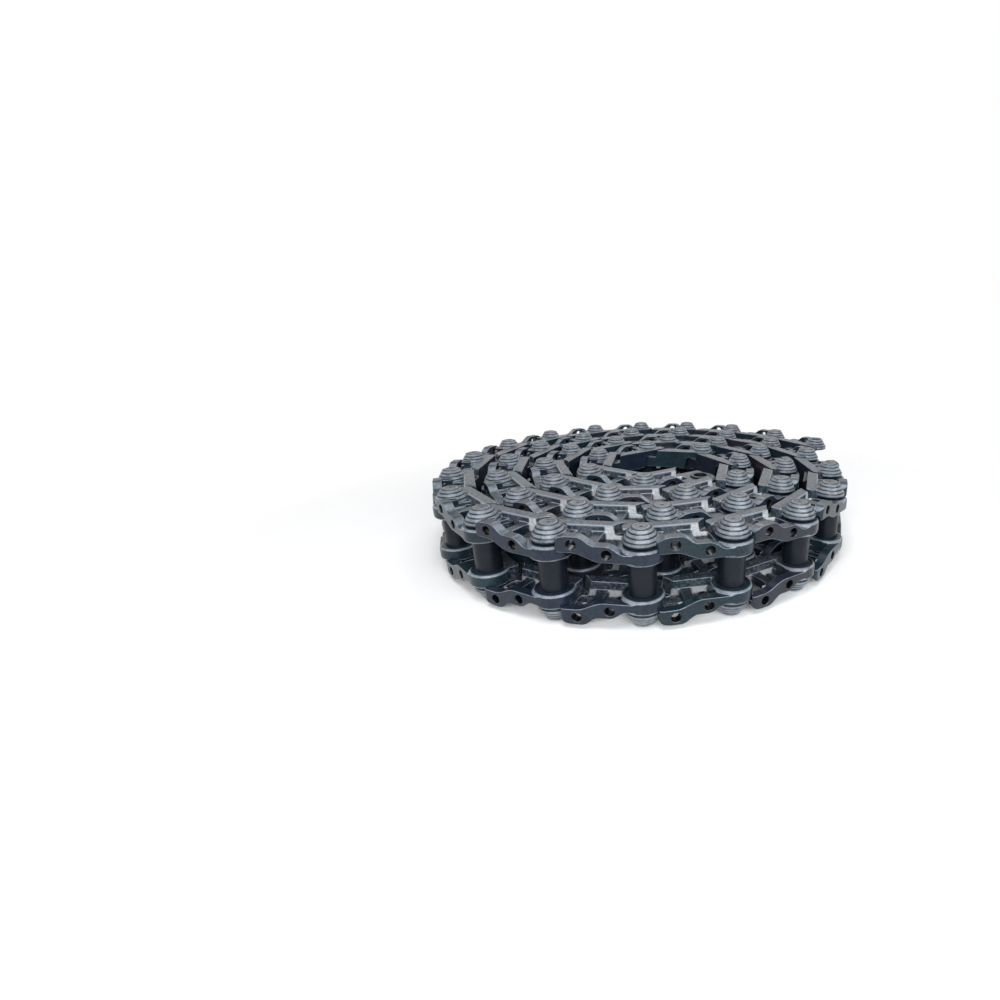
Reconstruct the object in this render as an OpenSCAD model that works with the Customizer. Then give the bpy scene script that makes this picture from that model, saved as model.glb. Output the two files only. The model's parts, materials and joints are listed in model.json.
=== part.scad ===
// Excavator track chain without shoes, rolled up into a coil and laid on its side.
// Every section has two links, a bushing pressed into their inboard eyes, and a pin
// pressed into their outboard eyes that turns in the bushing of the section before it.
// Sections are counted from the free outer end of the coil.

/* [Chain] */
// Distance from one pin centre to the next
pitch = 190; // [180:1:204]
// Number of sections in the chain
sections = 49; // [36:1:56]
// Radius of the pin circle at the inner end of the coil, in pitches
core_ratio = 0.8; // [0.8:0.02:1.4]
// Free space between the widest points of two turns
turn_gap = 2; // [1.5:0.5:30]

/* [Pins and bushings] */
// Diameter of a pin
pin_d = 38; // [32:0.5:42]
// How far a pin stands past the boss of its link
pin_proud = 2; // [1:0.5:5]
// Bevel on the ends of pins and bushings
end_bevel = 2; // [1:0.5:4]
// Outside diameter of a bushing
bushing_d = 59; // [55:0.5:63]
// How far a bushing reaches into the counterbore of the next link
bushing_reach = 2; // [1:0.5:4]
// Gap between a pin and the bushing that turns on it, on the radius
pin_play = 0.35; // [0.3:0.05:0.8]
// Gap drawn for a press fit, on the radius
press_gap = 0.2; // [0.1:0.05:0.3]

/* [Dust seals] */
// Thickness of a seal ring
seal_t = 5; // [3:0.5:7]
// Cone of a seal ring, from its inner edge to its outer edge
seal_cone = 1.5; // [0.5:0.5:2]
// Gap round a seal in its counterbore
seal_gap = 0.3; // [0.2:0.05:0.6]
// Room round the end of the bushing in the counterbore
counterbore_room = 1.5; // [1:0.25:3]

/* [Links] */
// Clear width between the two rows of links, where the sprocket teeth enter
sprocket_gap = 74; // [64:1:84]
// Thickness of the eye that holds the bushing
bushing_eye_t = 34; // [28:1:40]
// Thickness of the rail where it laps over the side of the next link
lap_t = 20; // [16:1:26]
// Slope of the end of a lap, from its foot to its top
lap_slope = 3; // [1:0.5:8]
// Room between the end of a lap and the link that swings past it
lap_room = 7; // [7:0.5:10]
// Wall round the bushing bore
bushing_wall = 16.5; // [12:0.5:18]
// Radius on the outer edges of the bushing eye
eye_round = 8; // [4:0.5:9]
// Wall round the pin bore
pin_wall = 19; // [17:0.5:22]
// Side gap between a link and the link that it overlaps
link_gap = 2; // [1:0.5:4]
// Height of the rail face over the pin centres
rail_h = 57; // [52:1:62]
// Thickness of the rail bar
rail_t = 28; // [22:1:32]
// How far the rail runs past each pin centre
rail_overhang = 34; // [26:1:38]
// Corner radius of the rail ends
rail_end_r = 10; // [6:1:16]
// Depth of the shoe face under the pin centres
shoe_h = 46; // [43:1:50]
// Thickness of the shoe bar
shoe_t = 22; // [18:1:26]
// Distance from a pin centre to the straight part of the shoe bar
shoe_inset = 24; // [20:1:30]
// Corner radius of the shoe bar
shoe_end_r = 10; // [4:1:14]
// How far the web lies below the outer face of the rail bar
web_recess = 14; // [13:0.5:16]
// Thickness of the web
web_t = 22; // [18:1:24]
// Height of the heel that ties the pin eye to the shoe bar
heel_h = 16; // [12:1:20]

/* [Pin boss] */
// Height of the straight wall round the pin eye
boss_base = 10; // [8:0.5:13]
// Number of steps on the boss round the pin
boss_steps = 3; // [2:1:3]
// Height of each step
boss_step_h = 8; // [5:0.5:9]
// How far each step is set in
boss_step_w = 5; // [4:0.5:5]
// How far the wall of each step leans in
boss_lean = 3.5; // [1:0.5:3.5]

/* [Shoe bolts] */
// Diameter of a shoe bolt hole
bolt_d = 20.5; // [16:0.5:22]
// Wall round a bolt hole
bolt_wall = 7.25; // [6:0.25:8]
// Distance between the two rows of holes at the pin end
bolt_span_pin = 160.4; // [156:0.2:166]
// Distance between the two rows of holes at the bushing end
bolt_span_bushing = 124.4; // [120:0.2:130]
// Distance between the two holes of one link
bolt_step = 70; // [64:1:74]
// Straight edge of the shoe bar beside a bolt hole
bolt_flat = 12; // [10:1:13]

/* [Nut windows] */
// Width of a window
window_w = 40; // [36:1:41]
// Width of the strut between the two windows
strut_w = 22; // [18:1:26]
// Corner radius of a window
window_r = 10; // [5:1:14]

/* [Hidden] */
$fn = 64;
// Sections at the outer end that are free to swing away from the coil
free_sections = 10;
// Last section of the outer half of the links that stay in the coil
half_way = floor((free_sections + sections) / 2);
// Overlap of a cutting body past the face that it cuts
cut = 1;
// Straight pieces in one S-bend
bend_pieces = 6;

steel_paint = "#3d454d";
bushing_steel = "#343b42";
pin_steel = "#5c656c";
seal_black = "#24211f";

// Radii
pin_r = pin_d / 2;
bushing_r = bushing_d / 2;
pin_bore_r = pin_r + press_gap;
bushing_bore_r = bushing_r + press_gap;
pin_eye_r = pin_r + pin_wall;
bushing_eye_r = bushing_r + bushing_wall;
counterbore_r = bushing_r + counterbore_room;
bolt_pad_r = bolt_d / 2 + bolt_wall;

// Heights over the middle of the chain, along the pins
bushing_eye_z0 = sprocket_gap / 2;
bushing_eye_z1 = bushing_eye_z0 + bushing_eye_t;
pin_eye_z0 = bushing_eye_z1 + link_gap;
lap_z = pin_eye_z0 + lap_t;
boss_z = pin_eye_z0 + boss_base + boss_steps * boss_step_h;
pin_half = boss_z + pin_proud;
bushing_half = pin_eye_z0 + bushing_reach;
seal_z0 = bushing_half + seal_gap;
counterbore_z = seal_z0 + seal_t + seal_gap;

// Places along a link, from its pin end
rail_corner = [rail_overhang - rail_end_r, rail_h - rail_end_r];
swing_r = norm(rail_corner) + rail_end_r + lap_room;
bolt_x = [(pitch - bolt_step) / 2, (pitch + bolt_step) / 2];
bolt_z = [bolt_span_pin / 2, bolt_span_bushing / 2];
window_x = [pitch / 2 - strut_w / 2 - window_w, pitch / 2 + strut_w / 2];
window_y = [shoe_t - shoe_h, rail_h - rail_t];
// The web just enters the shoe bar, and reaches into the middle of the rail bar
web_y = [shoe_t - shoe_h - cut, rail_h - rail_t / 2];

// The coil: a spiral with a pin at every pitch, counted from its inner end
core_r = core_ratio * pitch;
shoe_reach = max(shoe_h, bushing_eye_r, pin_eye_r);
flat_sag = pow(pitch, 2) / 8 / (core_r + shoe_reach + rail_h);
turn_step = shoe_reach + rail_h + flat_sag + turn_gap;
solve_steps = 12;

function spiral_r(turned) = core_r + turn_step * turned / 360;
function chord(r0, r1, angle) = sqrt(r0 * r0 + r1 * r1 - 2 * r0 * r1 * cos(angle));
function pitch_angle(turned, guess, n = solve_steps) =
  n == 0 ? guess :
  pitch_angle(turned, guess * pitch / chord(spiral_r(turned), spiral_r(turned + guess), guess), n - 1);
function turned_at(n) =
  n == 0 ? [0] :
  let (before = turned_at(n - 1), last = before[n - 1])
  concat(before, [last + pitch_angle(last, 2 * asin(pitch / 2 / spiral_r(last)))]);

turned = turned_at(sections);
spiral = [for (t = turned) spiral_r(t) * [cos(-t), sin(-t)]];
function heading(from, to) = atan2(to.y - from.y, to.x - from.x);
function spin(p, angle) = [p.x * cos(angle) - p.y * sin(angle), p.x * sin(angle) + p.y * cos(angle)];

// The coil is turned so that the shoe face of the outermost section faces +X
square_up = 90 - heading(spiral[sections], spiral[sections - 1]);
coil = [for (p = spiral) spin(p, square_up)];
function raw_pin(k) = coil[sections - k];
function section_angle(k) = heading(raw_pin(k - 1), raw_pin(k));

// The coil's box: circles as wide as an eye at every pin and inside the corners of the shoe bars
shoe_corners = [
  for (k = [1:sections], x = [shoe_inset + shoe_end_r, pitch - shoe_inset - shoe_end_r])
    raw_pin(k - 1) + spin([x, bushing_eye_r - shoe_h], section_angle(k))
];
box_low = [for (i = [0:1]) min([for (p = concat(coil, shoe_corners)) p[i]]) - bushing_eye_r];
box_high = [for (i = [0:1]) max([for (p = concat(coil, shoe_corners)) p[i]]) + bushing_eye_r];
box_middle = (box_low + box_high) / 2;

// Hinge k joins section k to section k + 1; hinge 0 is the free outer end
function hinge(k) = raw_pin(k) - box_middle;
function tag(k) = str(k < 10 ? "0" : "", k);

// An S-bend from one height to another
function s_bend(from, to) = [
  for (i = [0:bend_pieces])
    let (u = i / bend_pieces)
    [from.x + (to.x - from.x) * u, from.y + (to.y - from.y) * u * u * (3 - 2 * u)]
];

// A quarter of an ellipse, from straight above its middle to straight beside it
function quarter(middle, size) = [
  for (i = [0:bend_pieces])
    middle + [size.x * sin(90 * i / bend_pieces), size.y * cos(90 * i / bend_pieces)]
];

// A plan drawn along the chain and along the pins, made into a bar between two heights
module bar(y0, y1) {
  translate([0, y1, 0])
    rotate([90, 0, 0])
      linear_extrude(y1 - y0)
        children();
}

// The shoe bar's plan: round at the pin end, straight beside each bolt hole, bent in between,
// and running into the side of the bushing eye
module shoe_plan() {
  r = bolt_pad_r;
  high = bolt_z[0] + r;
  low = bolt_z[1] - r;
  eye_edge = bushing_eye_z1 - eye_round;
  polygon(concat(
    [[shoe_inset, bolt_z[0] - r]],
    s_bend([bolt_x[0], bolt_z[0] - r], [bolt_x[1] - bolt_flat, low]),
    [[pitch, low], [pitch, eye_edge]],
    s_bend([pitch - shoe_inset, eye_edge], [bolt_x[1], bolt_z[1] + r]),
    s_bend([bolt_x[1] - 2 * bolt_flat, bolt_z[1] + r], [bolt_x[0] + bolt_flat, high]),
    quarter([bolt_x[0] - bolt_flat, bolt_z[0]], [shoe_inset + bolt_flat - bolt_x[0], r])
  ));
}

// A rectangle from one corner to the other with round corners
module round_rect(low, high, r) {
  translate([low.x + r, low.y])
    square([high.x - low.x - 2 * r, high.y - low.y]);
  translate([low.x, low.y + r])
    square([high.x - low.x, high.y - low.y - 2 * r]);
  for (x = [low.x + r, high.x - r], y = [low.y + r, high.y - r])
    translate([x, y])
      circle(r);
}

// The link's outline seen along the pins
module link_outline() {
  round_rect([-rail_overhang, 0], [pitch + rail_overhang, rail_h], rail_end_r);
  round_rect([shoe_inset, -shoe_h], [pitch + shoe_end_r, rail_end_r], shoe_end_r);
}

// Room for the next link at each end: a round of radius r about each pin
module lap_cuts(r, slope) {
  translate([0, 0, pin_eye_z0])
    mirror([0, 0, 1])
      cylinder(r1 = r, r2 = r + slope * pin_eye_z0 / lap_t, h = pin_eye_z0);
  translate([pitch, 0, bushing_eye_z1])
    cylinder(r1 = r, r2 = r + slope * boss_z / lap_t, h = boss_z);
}

module rail_and_web() {
  difference() {
    union() {
      translate([-rail_overhang, rail_h - rail_t, bushing_eye_z0])
        cube([pitch + 2 * rail_overhang, rail_t, lap_z - bushing_eye_z0]);
      translate([0, web_y[0], lap_z - web_recess - web_t])
        cube([pitch, web_y[1] - web_y[0], web_t]);
    }
    lap_cuts(swing_r, lap_slope);
  }
}

module shoe_bar() {
  difference() {
    union() {
      bar(-shoe_h, shoe_t - shoe_h) shoe_plan();
      translate([shoe_inset, web_y[0], pin_eye_z0])
        cube([window_x[0] - shoe_inset, -web_y[0], heel_h]);
    }
    lap_cuts(bushing_eye_r + link_gap, 0);
  }
}

module link_bars() {
  intersection() {
    union() {
      rail_and_web();
      shoe_bar();
    }
    linear_extrude(boss_z)
      link_outline();
  }
}

// Outboard eye with its stepped boss
module pin_eye() {
  steps = [for (i = [1:boss_steps], top = [0:1]) [
    pin_eye_r - i * boss_step_w + (1 - top) * boss_lean,
    pin_eye_z0 + boss_base + (i - 1 + top) * boss_step_h
  ]];
  rotate_extrude()
    polygon(concat(
      [[0, pin_eye_z0], [pin_eye_r, pin_eye_z0], [pin_eye_r, pin_eye_z0 + boss_base]],
      steps,
      [[0, boss_z]]
    ));
}

module bushing_eye() {
  translate([pitch, 0, bushing_eye_z0])
    rotate_extrude()
      intersection() {
        square([bushing_eye_r, bushing_eye_t]);
        round_rect([-bushing_eye_r, 0], [bushing_eye_r, bushing_eye_t], eye_round);
      }
}

module link_bores() {
  translate([0, 0, pin_eye_z0 - cut])
    cylinder(r = pin_bore_r, h = boss_z - pin_eye_z0 + 2 * cut);
  translate([0, 0, pin_eye_z0 - cut])
    cylinder(r = counterbore_r, h = counterbore_z - pin_eye_z0 + cut);
  translate([pitch, 0, bushing_eye_z0 - cut])
    cylinder(r = bushing_bore_r, h = bushing_eye_t + 2 * cut);
}

module bolt_holes() {
  for (i = [0:1])
    translate([bolt_x[i], shoe_t - shoe_h + cut, bolt_z[i]])
      rotate([90, 0, 0])
        cylinder(d = bolt_d, h = shoe_t + 2 * cut);
}

module nut_windows() {
  linear_extrude(boss_z)
    for (x = window_x)
      round_rect([x, window_y[0]], [x + window_w, window_y[1]], window_r);
}

module link() {
  difference() {
    union() {
      link_bars();
      pin_eye();
      bushing_eye();
    }
    link_bores();
    bolt_holes();
    nut_windows();
  }
}

// Stands a piece of section k at its place in the coil
module in_section(k) {
  translate([hinge(k - 1).x, hinge(k - 1).y, pin_half])
    rotate(section_angle(k))
      children();
}

module upper_link(k) {
  color(steel_paint)
    in_section(k)
      link();
}

module lower_link(k) {
  color(steel_paint)
    in_section(k)
      mirror([0, 0, 1])
        link();
}

// A turned piece, given by half its outline; its ends are bevelled
module turned_piece(inner, outer, half) {
  rotate_extrude()
    polygon([
      [inner, -half], [outer - end_bevel, -half], [outer, end_bevel - half],
      [outer, half - end_bevel], [outer - end_bevel, half], [inner, half]
    ]);
}

module bushing(k) {
  color(bushing_steel)
    in_section(k)
      translate([pitch, 0, 0])
        turned_piece(pin_r + pin_play, bushing_r, bushing_half);
}

module pin(k) {
  color(pin_steel)
    in_section(k)
      turned_piece(0, pin_r, pin_half);
}

module seals(k) {
  color(seal_black)
    in_section(k)
      for (side = [0:1])
        mirror([0, 0, side])
          rotate_extrude()
            polygon([
              [pin_r + pin_play, seal_z0], [counterbore_r - seal_gap, seal_z0 + seal_cone],
              [counterbore_r - seal_gap, seal_z0 + seal_t],
              [pin_r + pin_play, seal_z0 + seal_t - seal_cone]
            ]);
}

module coil_upper_links_outer() {
  for (k = [free_sections + 1:half_way]) upper_link(k);
}

module coil_upper_links_inner() {
  for (k = [half_way + 1:sections - 1]) upper_link(k);
}

module coil_lower_links_outer() {
  for (k = [free_sections + 1:half_way]) lower_link(k);
}

module coil_lower_links_inner() {
  for (k = [half_way + 1:sections - 1]) lower_link(k);
}

module coil_bushings() {
  for (k = [free_sections + 1:sections - 1]) bushing(k);
}

module coil_pins() {
  for (k = [free_sections + 1:sections]) pin(k);
}

module coil_seals() {
  for (k = [free_sections + 1:sections]) seals(k);
}

for (k = [1:free_sections]) {
  upper_link(k);
  lower_link(k);
  bushing(k);
}
for (k = [2:free_sections]) {
  pin(k);
  seals(k);
}
coil_upper_links_outer();
coil_upper_links_inner();
coil_lower_links_outer();
coil_lower_links_inner();
coil_bushings();
coil_pins();
coil_seals();
upper_link(sections);  // inner_end_upper_link
lower_link(sections);  // inner_end_lower_link
bushing(sections);  // inner_end_bushing
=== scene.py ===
# %% [markdown]
# # A rolled-up excavator track chain
# The chain lies on its side, wound into a flat coil. Every section has two forged links and a bushing,
# and all but the outermost have a pin with two seals. Sections are alike, so this lesson makes each
# kind of piece once, gives it a finish, and then sets copies of it along the coil. The solids of the
# frame are the fixed skeleton: each dressed piece stands where its solid stands and moves with the
# same body.

# %% Open the frame
import json
import math

import bmesh
import bpy
from mathutils import Matrix, Vector


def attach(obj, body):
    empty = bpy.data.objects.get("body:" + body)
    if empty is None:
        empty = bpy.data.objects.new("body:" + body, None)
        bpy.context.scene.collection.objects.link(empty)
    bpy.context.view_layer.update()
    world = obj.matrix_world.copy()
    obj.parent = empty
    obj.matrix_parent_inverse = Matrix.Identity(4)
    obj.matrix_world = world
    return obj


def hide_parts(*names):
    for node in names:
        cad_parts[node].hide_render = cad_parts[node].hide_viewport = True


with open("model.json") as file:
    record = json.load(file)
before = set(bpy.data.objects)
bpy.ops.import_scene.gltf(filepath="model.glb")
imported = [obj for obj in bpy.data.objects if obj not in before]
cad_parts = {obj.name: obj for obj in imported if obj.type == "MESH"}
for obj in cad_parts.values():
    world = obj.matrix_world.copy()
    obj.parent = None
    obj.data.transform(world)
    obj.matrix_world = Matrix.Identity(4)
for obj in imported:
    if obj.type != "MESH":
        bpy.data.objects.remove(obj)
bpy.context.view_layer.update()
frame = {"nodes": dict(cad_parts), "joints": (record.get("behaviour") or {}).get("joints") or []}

# %% [markdown]
# ## The camera
# The photograph was taken close up with a wide lens, from a little above the coil, so the front of
# the coil is much larger than its back. The camera stands where the pin ends of the model fall on
# the pin ends in the photograph, to about three pixels. The coil lies right of the middle of the
# picture without being seen more from the side, which is what a sideways shift of the lens does.

# %% Set the camera
PHOTO_PX = 1000
CAMERA_AT = Vector((-0.839, -1.226, 0.582))
CAMERA_LOOKS = Vector((0.5795, 0.7470, -0.3260))
FOCAL_PX = 494
MIDDLE_PX = 685
SENSOR_MM = 36
NEAREST_SEEN = 0.02

lens = bpy.data.cameras.new("photo_camera")
lens.sensor_width = SENSOR_MM
lens.lens = FOCAL_PX / PHOTO_PX * SENSOR_MM
lens.shift_x = (PHOTO_PX / 2 - MIDDLE_PX) / PHOTO_PX
lens.clip_start = NEAREST_SEEN
camera = bpy.data.objects.new("photo_camera", lens)
camera.location = CAMERA_AT
camera.rotation_euler = CAMERA_LOOKS.to_track_quat("-Z", "Y").to_euler()
scene = bpy.context.scene
scene.collection.objects.link(camera)
scene.camera = camera
print("lens", round(lens.lens, 2), "mm, shift", round(lens.shift_x, 3))

# %% [markdown]
# ## Where each section stands
# The pins of a rolled-up chain lie on a spiral, one pitch apart. The places could be read off the
# solids one by one, but a formula is shorter: the spiral is walked from its inner end outward, and
# each step turns by the angle whose chord is one pitch. A few rounds of correction find that angle.

# %% Walk along the spiral
PITCH = 0.190
SECTIONS = 49
CORE_R = 0.8 * PITCH
SHOE_H = 0.046
RAIL_H = 0.057
TURN_GAP = 0.002
TURN_STEP = SHOE_H + RAIL_H + PITCH**2 / 8 / (CORE_R + SHOE_H + RAIL_H) + TURN_GAP
CHORD_ROUNDS = 12


def spiral_r(turned):
    return CORE_R + TURN_STEP * turned / math.tau


def next_turn(turned):
    """The angle reached one pitch further along the spiral."""
    r = spiral_r(turned)
    step = 2 * math.asin(PITCH / 2 / r)
    for _ in range(CHORD_ROUNDS):
        far = spiral_r(turned + step)
        step *= PITCH / math.sqrt(r * r + far * far - 2 * r * far * math.cos(step))
    return turned + step


turns = [0.0]
for _ in range(SECTIONS):
    turns.append(next_turn(turns[-1]))
spiral = [Vector((spiral_r(t) * math.cos(t), -spiral_r(t) * math.sin(t))) for t in reversed(turns)]
print("sections:", SECTIONS, "turns:", round(turns[-1] / math.tau, 2))

# %% [markdown]
# The solids stand in the frame with the outermost section along +Y and the middle of their box over
# the origin. The widest points of the box are the round ends of the shoe bars, so those are worked
# out too. The hinges of the frame show whether the result is right: the error is printed.

# %% Turn and centre the coil
EYE_R = 0.046
SHOE_INSET, SHOE_END_R = 0.024, 0.010
PIN_HALF = 0.109


def heading(start, end):
    return math.atan2(end.y - start.y, end.x - start.x)


square_up = Matrix.Rotation(math.pi / 2 - heading(spiral[0], spiral[1]), 2)
turned = [square_up @ p for p in spiral]
angles = [heading(turned[k], turned[k + 1]) for k in range(SECTIONS)]
rounds = list(turned)
for k in range(SECTIONS):
    for x in (SHOE_INSET + SHOE_END_R, PITCH - SHOE_INSET - SHOE_END_R):
        rounds.append(turned[k] + Matrix.Rotation(angles[k], 2) @ Vector((x, EYE_R - SHOE_H)))
middle = Vector([(min(p[i] for p in rounds) + max(p[i] for p in rounds)) / 2 for i in range(2)])
hinges = [p - middle for p in turned]
off = [(Vector(j["pos_m"][:2]) - hinges[int(j["name"][-2:])]).length for j in frame["joints"]]
print("hinge error mm:", round(max(off) * 1000, 3))


def section_place(k):
    """Places a piece of section k, counted from 1 at the outer end, from its own axes."""
    at = hinges[k - 1]
    return Matrix.Translation((at.x, at.y, PIN_HALF)) @ Matrix.Rotation(angles[k - 1], 4, "Z")


# %% [markdown]
# ## The forged link
# A link is hammered into shape in a die, so every edge is round and every inside corner is filled a
# little. Rounding hundreds of crossing edges one by one with a bevel leaves spikes where three of
# them meet. A voxel remesh is the safer way: the solid is rebuilt from small cells, a few rounds of
# smoothing soften the corners inside and out alike, and a decimate takes the flat parts back to
# large faces. It is done once, in the link's own axes, and every link shares the result.

# %% Forge one link
CELL = 0.0013
SOFTEN_BY, SOFTEN_ROUNDS = 0.5, 6
KEEP_FACES = 0.0725
SEAM_WELD = 2e-5


def forge(node, k, name):
    """A softened copy of a solid of section k, moved into the section's own axes."""
    shape = bmesh.new()
    shape.from_mesh(frame["nodes"][node].data)
    shape.transform(section_place(k).inverted())
    bmesh.ops.remove_doubles(shape, verts=shape.verts, dist=SEAM_WELD)
    mesh = bpy.data.meshes.new(name)
    shape.to_mesh(mesh)
    shape.free()
    blank = bpy.data.objects.new(name, mesh)
    scene.collection.objects.link(blank)
    cells = blank.modifiers.new("cells", "REMESH")
    cells.mode = "VOXEL"
    cells.voxel_size = CELL
    cells.use_smooth_shade = True
    soften = blank.modifiers.new("soften", "SMOOTH")
    soften.factor = SOFTEN_BY
    soften.iterations = SOFTEN_ROUNDS
    thin = blank.modifiers.new("thin", "DECIMATE")
    thin.ratio = KEEP_FACES
    forged = bpy.data.meshes.new_from_object(blank.evaluated_get(bpy.context.evaluated_depsgraph_get()))
    forged.name = name
    bpy.data.objects.remove(blank)
    return forged


link_shape = forge("upper_link_01", 1, "link_shape")
print("link faces:", len(link_shape.polygons))

# %% [markdown]
# ## Turned shapes
# Pins, bushings and seals are turned on a lathe, so each is a half outline spun round its axis. A
# cylinder with a bevel would be quicker, but an outline can also carry the marks of turning. Most
# outlines are the same above and below, so only their upper half is written down.

# %% Helpers for turned shapes
ROUND_STEPS = 56
SPIN_WELD = 1e-6


def turn_outline(outline, name, closed):
    """Spins a list of (radius, height) round Z. A closed outline makes a ring."""
    shape = bmesh.new()
    points = [shape.verts.new((r, 0, z)) for r, z in outline]
    edges = [shape.edges.new(pair) for pair in zip(points, points[1:])]
    if closed:
        edges.append(shape.edges.new((points[-1], points[0])))
    bmesh.ops.spin(
        shape, geom=points + edges, axis=(0, 0, 1), cent=(0, 0, 0), angle=math.tau, steps=ROUND_STEPS
    )
    bmesh.ops.remove_doubles(shape, verts=shape.verts, dist=SPIN_WELD)
    bmesh.ops.recalc_face_normals(shape, faces=shape.faces)
    mesh = bpy.data.meshes.new(name)
    shape.to_mesh(mesh)
    shape.free()
    for face in mesh.polygons:
        face.use_smooth = True
    print(name, "faces:", len(mesh.polygons))
    return mesh


def both_halves(upper_half):
    """The outline of the upper half, followed by its mirror image below."""
    return upper_half + [(r, -z) for r, z in reversed(upper_half)]


def mirror_image(shape, name):
    """The same shape for the lower side of the chain, with its faces still looking outward."""
    image = shape.copy()
    image.name = name
    image.transform(Matrix.Scale(-1, 4, (0, 0, 1)))
    image.flip_normals()
    return image


# %% [markdown]
# A pin has a small centre hole in each end, which holds it in the lathe, in a shallow dish. Its rim
# and the rims of the bushing are bevelled, so that they can be pressed into their eyes.

# %% Turn the pin and the bushing
PIN_R = 0.019
CENTRE_R, CENTRE_DEPTH = 0.0046, 0.0050
DISH_R, DISH_DEPTH = 0.0140, 0.0010
BUSHING_R = 0.0295
BUSHING_BORE_R = 0.01935
BUSHING_HALF = 0.075
BEVEL = 0.002
ROUND_IN, ROUND_DOWN = 0.35 * BEVEL, 0.40 * BEVEL
PIN_SLEEVE, BUSHING_SLEEVE = 0.030, 0.034

pin_shape = turn_outline(both_halves([
    (0.0, PIN_HALF - CENTRE_DEPTH),
    (0.0024, PIN_HALF - 0.0042),
    (0.0040, PIN_HALF - 0.0016),
    (CENTRE_R, PIN_HALF - DISH_DEPTH),
    (0.0125, PIN_HALF - DISH_DEPTH),
    (0.0134, PIN_HALF - 0.0006),
    (DISH_R, PIN_HALF),
    (PIN_R - BEVEL, PIN_HALF),
    (PIN_R - ROUND_IN, PIN_HALF - ROUND_DOWN),
    (PIN_R, PIN_HALF - BEVEL),
    (PIN_R, PIN_HALF - PIN_SLEEVE),
]), "pin_shape", closed=False)
bushing_shape = turn_outline(both_halves([
    (BUSHING_BORE_R, BUSHING_HALF - BEVEL / 2),
    (BUSHING_BORE_R + BEVEL / 2, BUSHING_HALF),
    (BUSHING_R - BEVEL, BUSHING_HALF),
    (BUSHING_R - ROUND_IN, BUSHING_HALF - ROUND_DOWN),
    (BUSHING_R, BUSHING_HALF - BEVEL),
    (BUSHING_R, BUSHING_HALF - BUSHING_SLEEVE),
]), "bushing_shape", closed=True)

# %% [markdown]
# A seal is a coned ring that keeps dust out of the gap between a link and the end of a bushing. It
# is made for the upper link, and its mirror image serves the lower one.

# %% Turn the seals
SEAL_Z = 0.0753
SEAL_T = 0.005
SEAL_R = (0.01935, 0.0307)

seal_shape = turn_outline([
    (SEAL_R[0], SEAL_Z),
    (SEAL_R[1] - 0.0008, SEAL_Z + 0.0013),
    (SEAL_R[1], SEAL_Z + 0.0022),
    (SEAL_R[1], SEAL_Z + SEAL_T - 0.0006),
    (SEAL_R[1] - 0.0006, SEAL_Z + SEAL_T),
    (SEAL_R[0], SEAL_Z + SEAL_T - 0.0015),
], "seal_shape", closed=True)
lower_seal = mirror_image(seal_shape, "lower_seal_shape")

# %% [markdown]
# The boss round each pin rises in three leaning steps. They are too fine for the voxels of the
# forged link, which would blur them. So a turned skin with crisp steps lies over them, and is joined
# to the link into one mesh.

# %% Turn the stepped skin of the boss
PIN_BORE_R = 0.0192
PIN_EYE_R = 0.038
PIN_EYE_Z = 0.073
BOSS_BASE, BOSS_STEPS, BOSS_STEP_H, BOSS_STEP_W, BOSS_LEAN = 0.010, 3, 0.008, 0.005, 0.0035
LIP = 0.0007
SKIN_DEPTH = 0.004

boss_z = PIN_EYE_Z + BOSS_BASE
boss_outline = [
    (PIN_EYE_R - SKIN_DEPTH, boss_z - SKIN_DEPTH),
    (PIN_EYE_R, boss_z - LIP),
    (PIN_EYE_R - LIP, boss_z),
]
for step in range(1, BOSS_STEPS + 1):
    foot_r = PIN_EYE_R - step * BOSS_STEP_W + BOSS_LEAN
    top_r, top_z = foot_r - BOSS_LEAN, boss_z + step * BOSS_STEP_H
    boss_outline += [
        (foot_r + 0.3 * LIP, top_z - BOSS_STEP_H - 0.6 * LIP),
        (foot_r, top_z - BOSS_STEP_H + LIP),
        (top_r + 0.4 * LIP, top_z - LIP),
        (top_r - 0.6 * LIP, top_z),
    ]
boss_outline += [(PIN_BORE_R, top_z), (PIN_BORE_R, top_z - SKIN_DEPTH)]
boss_skin = turn_outline(boss_outline, "boss_skin", closed=True)
print("boss top at mm:", round(top_z * 1000, 1))

# %% [markdown]
# The paint differs from place to place on a link, such as in the nut windows. An image painted for
# the link would need an unwrapped surface. Here every point keeps its place on its own link instead,
# in millimetres. It keeps that when copies of the link are turned and joined along the coil, and the
# material reads it later. The lower link is the upper one's mirror image.


# %% Join boss and link, and keep the place on the link
def whole_link(shape, skin, name):
    """The link and the skin of its boss in one mesh, with each point's place written on it."""
    whole = bmesh.new()
    whole.from_mesh(shape)
    whole.from_mesh(skin)
    mesh = bpy.data.meshes.new(name)
    whole.to_mesh(mesh)
    whole.free()
    own_place = mesh.attributes.new("own_place", "FLOAT_VECTOR", "POINT")
    for point, note in zip(mesh.vertices, own_place.data):
        note.vector = point.co * 1000
    print(name, "faces:", len(mesh.polygons))
    return mesh


upper_link = whole_link(link_shape, boss_skin, "upper_link_shape")
lower_link = whole_link(
    mirror_image(link_shape, "lower_shape"), mirror_image(boss_skin, "lower_skin"), "lower_link_shape"
)

# %% [markdown]
# ## Finishes
# All the steel is dark, but not one flat colour. The paint varies from link to link and along each
# link, it is lighter on raised edges, partly from wear and partly as a painted highlight, and the forged
# skin under it is slightly rough. Finishes are made of nodes, so that they need no image. Small helpers
# keep the node trees short: one adds a node, one joins two sockets, and one makes a noise whose grain
# has a real size.


# %% Helpers for materials
def new_finish(name):
    material = bpy.data.materials.new(name)
    material.use_nodes = True
    return material, material.node_tree.nodes["Principled BSDF"]


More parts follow.
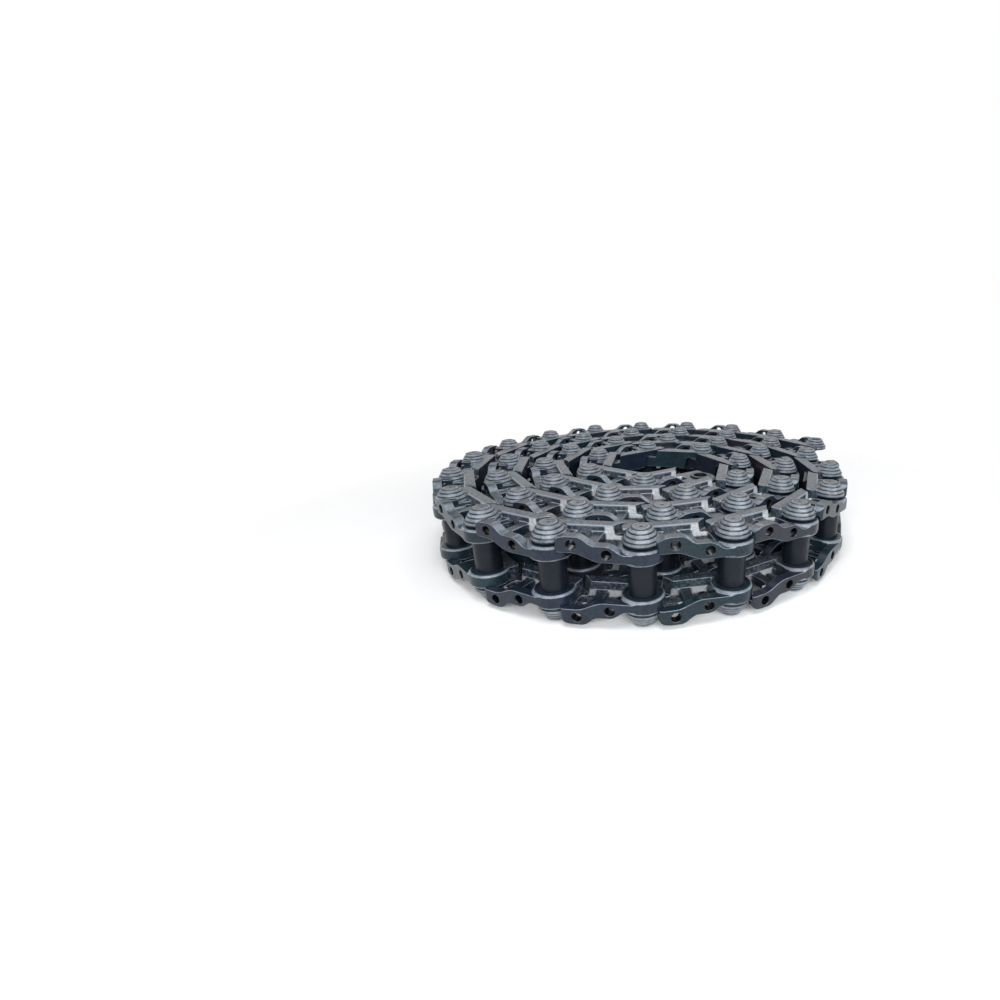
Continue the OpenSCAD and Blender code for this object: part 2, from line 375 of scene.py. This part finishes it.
def add(material, kind, **settings):
    """Adds a node. Settings with a capital first letter are inputs, the others are properties."""
    node = material.node_tree.nodes.new(kind)
    for key, value in settings.items():
        if key[0].isupper():
            node.inputs[key.replace("_", " ")].default_value = value
        else:
            setattr(node, key, value)
    return node


def join(material, start, end):
    material.node_tree.links.new(start, end)


def noise(material, scale, detail=4.0, rough=0.55):
    """Noise in metres of the model, so its grain has a real size."""
    place = add(material, "ShaderNodeTexCoord")
    cloud = add(material, "ShaderNodeTexNoise", Scale=scale, Detail=detail, Roughness=rough)
    join(material, place.outputs["Object"], cloud.inputs["Vector"])
    return cloud.outputs["Fac"]


def grain(material, shader, height, strength, distance):
    """Makes the surface look uneven, by a height that is a socket."""
    bump = add(material, "ShaderNodeBump", Strength=strength, Distance=distance)
    join(material, height, bump.inputs["Height"])
    join(material, bump.outputs["Normal"], shader.inputs["Normal"])


print("finishes so far:", len(bpy.data.materials))

# %% [markdown]
# Three more helpers turn one number into another or into a colour, and lay one colour over another.
# With them a finish reads as a list of layers, from the lowest up.


# %% Helpers for colours
def ramp(material, source, stops):
    """A colour ramp fed by source. Stops are (place, colour)."""
    node = add(material, "ShaderNodeValToRGB")
    marks = node.color_ramp.elements
    while len(marks) < len(stops):
        marks.new(0.5)
    for mark, (place, colour) in zip(marks, stops):
        mark.position = place
        mark.color = (*colour, 1.0)
    join(material, source, node.inputs["Fac"])
    return node.outputs["Color"]


def level(material, source, low, high, out_low=0.0, out_high=1.0):
    """Maps a number from one span to another and keeps it inside."""
    node = add(material, "ShaderNodeMapRange")
    for place, value in zip((1, 2, 3, 4), (low, high, out_low, out_high)):
        node.inputs[place].default_value = value
    join(material, source, node.inputs[0])
    return node.outputs[0]


def lay_over(material, amount, a, b, mode="MIX"):
    """Lays colour b over a. Amount is a socket or a number, and b a socket or a colour."""
    mix = add(material, "ShaderNodeMix", data_type="RGBA", blend_type=mode)
    if isinstance(amount, float):
        mix.inputs[0].default_value = amount
    else:
        join(material, amount, mix.inputs[0])
    join(material, a, mix.inputs[6])
    if isinstance(b, tuple):
        mix.inputs[7].default_value = (*b, 1.0)
    else:
        join(material, b, mix.inputs[7])
    return mix.outputs[2]


print("material helpers are ready")

# %% [markdown]
# Much of the link's finish is laid out in the link's own millimetres, so it lies in the same place on
# every link. The place that each point keeps is read by an attribute node and split into its three
# numbers. X runs along the link from pin to bushing, Y from the shoe bar to the rail, Z along the pin.

# %% Helpers that find a place on a link
SOFT = 1.5


def sums(material, kind, a, b=None):
    node = add(material, "ShaderNodeMath", operation=kind)
    join(material, a, node.inputs[0])
    if b:
        join(material, b, node.inputs[1])
    return node.outputs[0]


def times(material, a, b):
    return sums(material, "MULTIPLY", a, b)


def between(material, source, low, high):
    """One between two numbers and none outside, with soft ends."""
    rise = level(material, source, low - SOFT, low + SOFT)
    return times(material, rise, level(material, source, high + SOFT, high - SOFT))


def split(material, vector):
    parts = add(material, "ShaderNodeSeparateXYZ")
    join(material, vector, parts.inputs[0])
    return parts.outputs


def far_from(material, a, b, point):
    """How far the point (a, b) lies from a fixed one."""
    flat = add(material, "ShaderNodeCombineXYZ")
    join(material, a, flat.inputs["X"])
    join(material, b, flat.inputs["Y"])
    away = add(material, "ShaderNodeVectorMath", operation="DISTANCE")
    join(material, flat.outputs[0], away.inputs[0])
    away.inputs[1].default_value = (*point, 0.0)
    return away.outputs["Value"]


paint, paint_shader = new_finish("link_paint")
kept_place = add(paint, "ShaderNodeAttribute", attribute_name="own_place")
own_x, own_y, own_z = split(paint, kept_place.outputs["Vector"])
own_high = sums(paint, "ABSOLUTE", own_z)
print("place nodes:", len(paint.node_tree.nodes))

# %% [markdown]
# The side of the rail in the nut windows is taken for a wall without paint, and only its upper part,
# where light falls from above, is painted bright, a painted highlight, most of all in the window beside
# the bushing. The bolt holes are painted dark, a painted shade, and the long front edge of the rail is
# painted light, a painted highlight. Each of these is a mask: a number that is one in that place and
# none elsewhere.

# %% Mark the windows, holes and rail edge
WINDOW_W = 40.0
# Painted highlight: how much of it each window gets, on upper and lower links.
WINDOWS_X = {44.0: (0.06, 0.5), 106.0: (1.0, 0.7)}
RAIL_SIDE_Y = (26.5, 31.5)
# The heights, on upper and lower links, of the top part of the wall where the painted highlight lies.
UPPER_WALL_Z, LOWER_WALL_Z = (63.0, 91.0), (-72.0, -56.0)
BOLT_R = 10.25
BOLT_RIM = (1.4, 0.5)
BOLTS_XZ = ((60.0, 80.2), (130.0, 62.2))
SHOE_BAR_Y = -21.0
RAIL_EDGE_Y, RAIL_EDGE_Z = (27.5, 31.5), (90.0, 96.0)

wall = sums(paint, "ADD", between(paint, own_z, *UPPER_WALL_Z), between(paint, own_z, *LOWER_WALL_Z))
wall = times(paint, wall, between(paint, own_y, *RAIL_SIDE_Y))
windows = []
for start, (on_upper, on_lower) in WINDOWS_X.items():
    amount = level(paint, own_z, -1.0, 1.0, on_lower, on_upper)
    windows.append(times(paint, between(paint, own_x, start + SOFT, start + WINDOW_W - SOFT), amount))
# Painted highlight: the bare rail wall in the windows, lit only in its upper part.
bare_and_lit_wall = times(paint, sums(paint, "ADD", *windows), wall)
holes = [
    level(paint, far_from(paint, own_x, own_high, bolt), *(BOLT_R + rim for rim in BOLT_RIM))
    for bolt in BOLTS_XZ
]
# Painted shade: the bolt holes in the shoe bar are made dark.
in_shoe_bar = level(paint, own_y, SHOE_BAR_Y + SOFT, SHOE_BAR_Y)
bolt_holes = times(paint, sums(paint, "MAXIMUM", *holes), in_shoe_bar)
# Painted highlight: the long front edge of the rail is made light.
rail_edge_highlight = times(paint, between(paint, own_y, *RAIL_EDGE_Y), between(paint, own_high, *RAIL_EDGE_Z))
print("mask nodes:", len(paint.node_tree.nodes))

# %% [markdown]
# Paint is taken as thin on rounded edges and on the sloping steps of the boss, where the surface faces
# neither straight up nor straight out, and is made lighter there: partly wear, partly a painted
# highlight. The foot of each step is painted dark, a painted shade. The feet repeat with the height of
# a step, so the fraction of the counted steps finds them all at once.

# %% Mark thin paint with its painted highlight, and the painted shade at the step feet
TILT_BEGINS, TILT_ENDS = (0.22, 0.42), (0.80, 0.93)
BOSS_R = 1000 * PIN_EYE_R
STEP_H = 1000 * BOSS_STEP_H
FIRST_FOOT = 1000 * boss_z - STEP_H
COUNTED = 8
STEP_FOOT_SPAN = (0.42, 0.25)

facing = split(paint, add(paint, "ShaderNodeTexCoord").outputs["Normal"])
tilt = sums(paint, "ABSOLUTE", facing["Z"])
not_flat = level(paint, tilt, *reversed(TILT_ENDS))
slanting = times(paint, level(paint, tilt, *TILT_BEGINS), not_flat)
near_pin = level(paint, far_from(paint, own_x, own_y, (0.0, 0.0)), BOSS_R + 2.0, BOSS_R + 1.0)
on_boss = times(paint, near_pin, level(paint, own_high, FIRST_FOOT - 1.0, FIRST_FOOT))
steps = level(paint, own_high, FIRST_FOOT, FIRST_FOOT + COUNTED * STEP_H, 0.0, float(COUNTED))
# Painted shade: the foot of each boss step is darkened.
step_foot_shade = times(paint, level(paint, sums(paint, "FRACT", steps), *STEP_FOOT_SPAN), near_pin)
# Thin paint on edges and boss steps: partly wear, partly painted highlight.
thin_paint_and_highlight = sums(paint, "MAXIMUM", slanting, times(paint, on_boss, not_flat))
print("edge nodes:", len(paint.node_tree.nodes))

# %% [markdown]
# The paint itself is a dark blue-grey with some green or brown in it on some links. Each link carries
# a number of its own, kept on its points, that picks its tint. Broad patches and fine specks keep it
# from looking like plastic.

# %% Tint the link paint
TINTS = [
    (0.0, (0.006, 0.011, 0.023)),
    (0.35, (0.007, 0.019, 0.024)),
    (0.7, (0.009, 0.014, 0.027)),
    (1.0, (0.018, 0.016, 0.021)),
]
SPECK_COLOUR = (0.036, 0.034, 0.034)

own_number = add(paint, "ShaderNodeAttribute", attribute_name="tint")
tint = ramp(paint, own_number.outputs["Fac"], TINTS)
patches = ramp(paint, noise(paint, 24.0), [(0.32, (0.72, 0.74, 0.78)), (0.68, (1.22, 1.20, 1.18))])
coat = lay_over(paint, 1.0, tint, patches, "MULTIPLY")
specks = level(paint, noise(paint, 420.0, 3.0, 0.6), 0.62, 0.74)
coat = lay_over(paint, level(paint, specks, 0.0, 1.0, 0.0, 0.35), coat, SPECK_COLOUR)
print("tint nodes:", len(paint.node_tree.nodes))

# %% [markdown]
# The rail half of a link has a coarse, mottled scale from hardening. The tread that the rollers run
# on is ground smooth again, and the shoe half is smooth too. Over it come the lighter thin paint of the
# edges, partly wear and partly painted highlight, the painted shade at the feet of the steps and in the
# hollows, then the painted shade of the holes and the bare walls with their painted highlight.
# Pointiness is a number that Blender gives for how far a place stands out or lies in a hollow.

# %% Layer scale, edges, painted highlights and painted shade over the paint
RAIL_HALF_Y, TREAD_Y = (12.0, 24.0), (53.0, 55.5)
SCALE_COLOUR = (0.15, 0.165, 0.19)
THIN_PAINT_HIGHLIGHT_COLOUR = (0.19, 0.215, 0.245)
STEP_FOOT_SHADE_COLOUR = (0.006, 0.008, 0.011)
HOLLOW_SHADE_COLOUR = (0.004, 0.003, 0.003)
HOLE_SHADE_COLOUR = (0.003, 0.003, 0.004)

scale = level(paint, noise(paint, 150.0, 7.0, 0.75), 0.45, 0.68, 0.0, 0.65)
scale = times(paint, scale, level(paint, own_y, *RAIL_HALF_Y, 0.12, 1.0))
scale = times(paint, scale, level(paint, own_y, *TREAD_Y, 1.0, 0.08))
coat = lay_over(paint, scale, coat, SCALE_COLOUR)
# Lighter thin paint on edges, boss steps and the rail edge: partly wear, partly painted highlight.
thin = times(paint, thin_paint_and_highlight, level(paint, noise(paint, 60.0, 5.0, 0.65), 0.3, 0.6, 0.35, 1.0))
coat = lay_over(paint, sums(paint, "MAXIMUM", thin, rail_edge_highlight), coat, THIN_PAINT_HIGHLIGHT_COLOUR)
# Painted shade at the foot of each boss step.
coat = lay_over(paint, step_foot_shade, coat, STEP_FOOT_SHADE_COLOUR)
# Painted shade: hollows found by pointiness are darkened almost to black.
geometry = add(paint, "ShaderNodeNewGeometry")
hollow = level(paint, geometry.outputs["Pointiness"], 0.485, 0.44)
coat = lay_over(paint, level(paint, hollow, 0.0, 1.0, 0.0, 0.8), coat, HOLLOW_SHADE_COLOUR)
# Painted shade in the bolt holes.
coat = lay_over(paint, bolt_holes, coat, HOLE_SHADE_COLOUR)
# Painted highlight: the lit upper part of the bare rail wall in the windows is made light grey.
bright = ramp(paint, noise(paint, 160.0, 5.0, 0.6), [(0.3, (0.30, 0.31, 0.32)), (0.7, (0.52, 0.53, 0.54))])
coat = lay_over(paint, bare_and_lit_wall, coat, bright)
print("layer nodes:", len(paint.node_tree.nodes))

# %% [markdown]
# The paint is a little glossy, with a clear layer on a duller one. Low gloss below keeps the dark
# colour dark, and the coat above gives the soft highlights. A fine grain shows the forged skin.

# %% Give the paint its gloss and grain
join(paint, coat, paint_shader.inputs["Base Color"])
join(paint, level(paint, noise(paint, 70.0), 0.3, 0.7, 0.30, 0.46), paint_shader.inputs["Roughness"])
paint_shader.inputs["Specular IOR Level"].default_value = 0.1
paint_shader.inputs["Coat Weight"].default_value = 0.45
paint_shader.inputs["Coat Roughness"].default_value = 0.2
grain(paint, paint_shader, noise(paint, 260.0, 5.0, 0.6), 0.35, 0.0006)
print("paint nodes:", len(paint.node_tree.nodes))

# %% [markdown]
# The bushings are hardened and dipped in a thin dark coat, so they are darker and smoother than the
# links, with fine rings from grinding. The rings are a wave along the axis of the pins.

# %% Finish of the bushings
STAIN_COLOUR = (0.012, 0.007, 0.006)

dark, dark_shader = new_finish("bushing_coat")
base = ramp(dark, noise(dark, 40.0), [(0.3, (0.004, 0.006, 0.010)), (0.7, (0.008, 0.011, 0.016))])
stain = level(dark, noise(dark, 15.0, 5.0, 0.6), 0.56, 0.72, 0.0, 0.5)
base = lay_over(dark, stain, base, STAIN_COLOUR)
join(dark, base, dark_shader.inputs["Base Color"])
join(dark, level(dark, noise(dark, 90.0), 0.3, 0.7, 0.28, 0.45), dark_shader.inputs["Roughness"])
dark_shader.inputs["Specular IOR Level"].default_value = 0.22
place = add(dark, "ShaderNodeTexCoord")
rings = add(dark, "ShaderNodeTexWave", bands_direction="Z", Scale=160.0, Distortion=1.5, Detail=3.0)
join(dark, place.outputs["Object"], rings.inputs["Vector"])
grain(dark, dark_shader, rings.outputs["Fac"], 0.12, 0.0002)
print("bushing nodes:", len(dark.node_tree.nodes))

# %% [markdown]
# The ends of the pins are bare steel that has turned grey. Their bevelled rims have been rubbed
# bright, and pointiness finds the rims without a mask of their own.

# %% Finish of the pins
WORN_COLOUR = (0.16, 0.17, 0.18)
GREY_STEEL = [(0.3, (0.022, 0.027, 0.033)), (0.7, (0.050, 0.056, 0.063))]

steel, steel_shader = new_finish("pin_steel")
base = ramp(steel, noise(steel, 120.0, 6.0, 0.6), GREY_STEEL)
rims = add(steel, "ShaderNodeNewGeometry")
worn = level(steel, rims.outputs["Pointiness"], 0.51, 0.56, 0.0, 0.7)
base = lay_over(steel, worn, base, WORN_COLOUR)
join(steel, base, steel_shader.inputs["Base Color"])
join(steel, level(steel, noise(steel, 200.0), 0.3, 0.7, 0.26, 0.42), steel_shader.inputs["Roughness"])
steel_shader.inputs["Metallic"].default_value = 0.2
grain(steel, steel_shader, noise(steel, 700.0, 4.0, 0.6), 0.2, 0.0002)
print("pin nodes:", len(steel.node_tree.nodes))

# %% [markdown]
# The seals are black rubber and lie hidden between link and bushing. They show only when the chain is
# taken apart, so a dull dark finish with a fine grain is enough.

# %% Finish of the seals
rubber, rubber_shader = new_finish("seal_rubber")
base = ramp(rubber, noise(rubber, 220.0), [(0.3, (0.012, 0.011, 0.010)), (0.7, (0.026, 0.024, 0.022))])
join(rubber, base, rubber_shader.inputs["Base Color"])
join(rubber, level(rubber, noise(rubber, 350.0), 0.3, 0.7, 0.5, 0.7), rubber_shader.inputs["Roughness"])
grain(rubber, rubber_shader, noise(rubber, 900.0), 0.2, 0.0002)
print("seal nodes:", len(rubber.node_tree.nodes))

# %% [markdown]
# ## Setting the pieces along the coil
# Each solid of the frame is one piece or a group of alike pieces. A dressed piece is made for each of
# them: copies of the shape are placed in the sections of that group and joined into one mesh, which
# stands for the solid and rides on its body. Linked copies would save memory, but one solid has one
# dressed piece. The tints step by a golden share, so that neighbours differ.

# %% Helper that dresses a solid
GOLDEN = 0.618


def dress(node, body, slot, finish, shapes, sections):
    """One dressed piece for a solid: the shapes, set in every section of its group."""
    gathered = bmesh.new()
    tints = gathered.verts.layers.float.new("tint")
    for k in sections:
        for shape in shapes:
            copy = shape.copy()
            copy.transform(section_place(k))
            done = len(gathered.verts)
            gathered.from_mesh(copy)
            gathered.verts.ensure_lookup_table()
            for point in gathered.verts[done:]:
                point[tints] = GOLDEN * (k + len(node)) % 1.0
            bpy.data.meshes.remove(copy)
    mesh = bpy.data.meshes.new("dressed_" + node)
    gathered.to_mesh(mesh)
    gathered.free()
    for face in mesh.polygons:
        face.use_smooth = True
    mesh.materials.append(finish)
    piece = bpy.data.objects.new("dressed_" + node, mesh)
    scene.collection.objects.link(piece)
    even = piece.modifiers.new("even_shading", "WEIGHTED_NORMAL")
    even.keep_sharp = True
    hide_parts(node)
    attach(piece, body)
    return piece


bushing_at_end = bushing_shape.copy()
bushing_at_end.transform(Matrix.Translation((PITCH, 0, 0)))
LINKS = ("link_steel", paint)
BUSHINGS = ("bushing_steel", dark, [bushing_at_end])
PINS = ("pin_steel", steel, [pin_shape])
SEALS = ("seal", rubber, [seal_shape, lower_seal])
print("kinds of piece:", [kind[0] for kind in (LINKS, BUSHINGS, PINS, SEALS)])

# %% [markdown]
# The outer ten sections can swing on their hinges, so each of their pieces stands alone. The outermost
# section has no pin and no seals: its open eyes are one free end of the chain.

# %% Dress the sections that swing
FREE_SECTIONS = 10

dressed = []
for k in range(1, FREE_SECTIONS + 1):
    number, body = f"_{k:02d}", f"section_{k:02d}"
    dressed.append(dress("upper_link" + number, body, *LINKS, [upper_link], [k]))
    dressed.append(dress("lower_link" + number, body, *LINKS, [lower_link], [k]))
    dressed.append(dress("bushing" + number, body, *BUSHINGS, [k]))
    if k > 1:
        dressed.append(dress("pin" + number, body, *PINS, [k]))
        dressed.append(dress("seals" + number, body, *SEALS, [k]))
print("pieces that swing:", len(dressed))

# %% [markdown]
# The rest stays rolled up and moves as one body. Its pieces are grouped by kind, the links in an outer
# and an inner half, and the innermost section, the other free end, has pieces of its own.

# %% Dress the rolled-up rest
half_way = (FREE_SECTIONS + SECTIONS) // 2
outer = range(FREE_SECTIONS + 1, half_way + 1)
inner = range(half_way + 1, SECTIONS)
joined = range(FREE_SECTIONS + 1, SECTIONS)
pinned = range(FREE_SECTIONS + 1, SECTIONS + 1)
for side, shape in (("upper", upper_link), ("lower", lower_link)):
    dressed.append(dress(f"coil_{side}_links_outer", "coil", *LINKS, [shape], outer))
    dressed.append(dress(f"coil_{side}_links_inner", "coil", *LINKS, [shape], inner))
    dressed.append(dress(f"inner_end_{side}_link", "coil", *LINKS, [shape], [SECTIONS]))
dressed.append(dress("coil_bushings", "coil", *BUSHINGS, joined))
dressed.append(dress("inner_end_bushing", "coil", *BUSHINGS, [SECTIONS]))
dressed.append(dress("coil_pins", "coil", *PINS, pinned))
dressed.append(dress("coil_seals", "coil", *SEALS, pinned))
print("pieces:", len(dressed), "faces:", sum(len(p.data.polygons) for p in dressed))

# %% [markdown]
# ## Floor, backdrop and light
# The photograph has a plain white ground. A large white plane would end in a visible horizon. Here a
# round floor fades out towards its edge instead, so that it keeps the shadow under the coil and then
# gives way to the white backdrop.

# %% Lay the floor
FLOOR_R = 1.75
FLOOR_SIDES = 96
FADE_R = (0.72, 1.35)
FLOOR_BELOW = 0.0005

shape = bmesh.new()
bmesh.ops.create_circle(shape, cap_ends=True, segments=FLOOR_SIDES, radius=FLOOR_R)
floor_mesh = bpy.data.meshes.new("floor")
shape.to_mesh(floor_mesh)
shape.free()
floor = bpy.data.objects.new("floor", floor_mesh)
floor.location.z = -FLOOR_BELOW
scene.collection.objects.link(floor)
pale, pale_shader = new_finish("pale_floor")
cloud = ramp(pale, noise(pale, 1.2, 2.0), [(0.3, (0.88, 0.86, 0.84)), (0.7, (0.91, 0.89, 0.87))])
join(pale, cloud, pale_shader.inputs["Base Color"])
pale_shader.inputs["Roughness"].default_value = 0.9
pale_shader.inputs["Specular IOR Level"].default_value = 0.1
place = add(pale, "ShaderNodeTexCoord")
away = add(pale, "ShaderNodeVectorMath", operation="LENGTH")
join(pale, place.outputs["Object"], away.inputs[0])
join(pale, level(pale, away.outputs["Value"], *FADE_R, 1.0, 0.0), pale_shader.inputs["Alpha"])
floor_mesh.materials.append(pale)
print("floor:", 2 * FLOOR_R, "m wide")

# %% [markdown]
# The world is white where the camera sees it, in reflections and through the fading floor, and lights
# the scene at a lower level. One world can do both, because the light path node tells which kind of
# ray is asking.

# %% Whiten the backdrop
SKY_COLOUR, SKY_STRENGTH = (0.93, 0.96, 1.0, 1.0), 0.3
WHITE = (1.0, 1.0, 1.0, 1.0)

scene.view_settings.view_transform = "Standard"
world = bpy.data.worlds.new("studio")
world.use_nodes = True
scene.world = world
sky = world.node_tree.nodes["Background"]
sky.inputs["Color"].default_value = SKY_COLOUR
sky.inputs["Strength"].default_value = SKY_STRENGTH
white = add(world, "ShaderNodeBackground", Color=WHITE, Strength=1.0)
rays = add(world, "ShaderNodeLightPath").outputs
shown = sums(world, "MAXIMUM", rays["Is Camera Ray"], rays["Is Glossy Ray"])
shown = sums(world, "MAXIMUM", shown, rays["Is Transmission Ray"])
pick = add(world, "ShaderNodeMixShader")
join(world, shown, pick.inputs["Fac"])
join(world, sky.outputs[0], pick.inputs[1])
join(world, white.outputs[0], pick.inputs[2])
join(world, pick.outputs[0], world.node_tree.nodes["World Output"].inputs["Surface"])
print("world nodes:", len(world.node_tree.nodes))

# %% [markdown]
# A wide lamp above and behind the camera lights the sloping steps of the bosses, a high one picks out
# the round edges of the links, and a weak one fills the back. Area lamps give the soft shadows of the
# photograph, which a point or a sun lamp would draw hard.

# %% Place the lamps
LAMP_COLOUR = (0.93, 0.965, 1.0)
LAMPS_AIM_AT = Vector((0.0, 0.0, 0.1))


def lamp(name, at, wide, high, watts):
    light = bpy.data.lights.new(name, "AREA")
    light.shape = "RECTANGLE"
    light.size = wide
    light.size_y = high
    light.energy = watts
    light.color = LAMP_COLOUR
    holder = bpy.data.objects.new(name, light)
    holder.location = at
    holder.rotation_euler = (LAMPS_AIM_AT - Vector(at)).to_track_quat("-Z", "Y").to_euler()
    scene.collection.objects.link(holder)


lamp("front_lamp", (-1.35, -2.9, 1.6), wide=6.4, high=0.9, watts=180.0)
lamp("high_lamp", (-1.0, -1.3, 3.0), wide=1.4, high=1.4, watts=50.0)
lamp("back_lamp", (1.6, 2.0, 2.7), wide=2.4, high=1.4, watts=45.0)
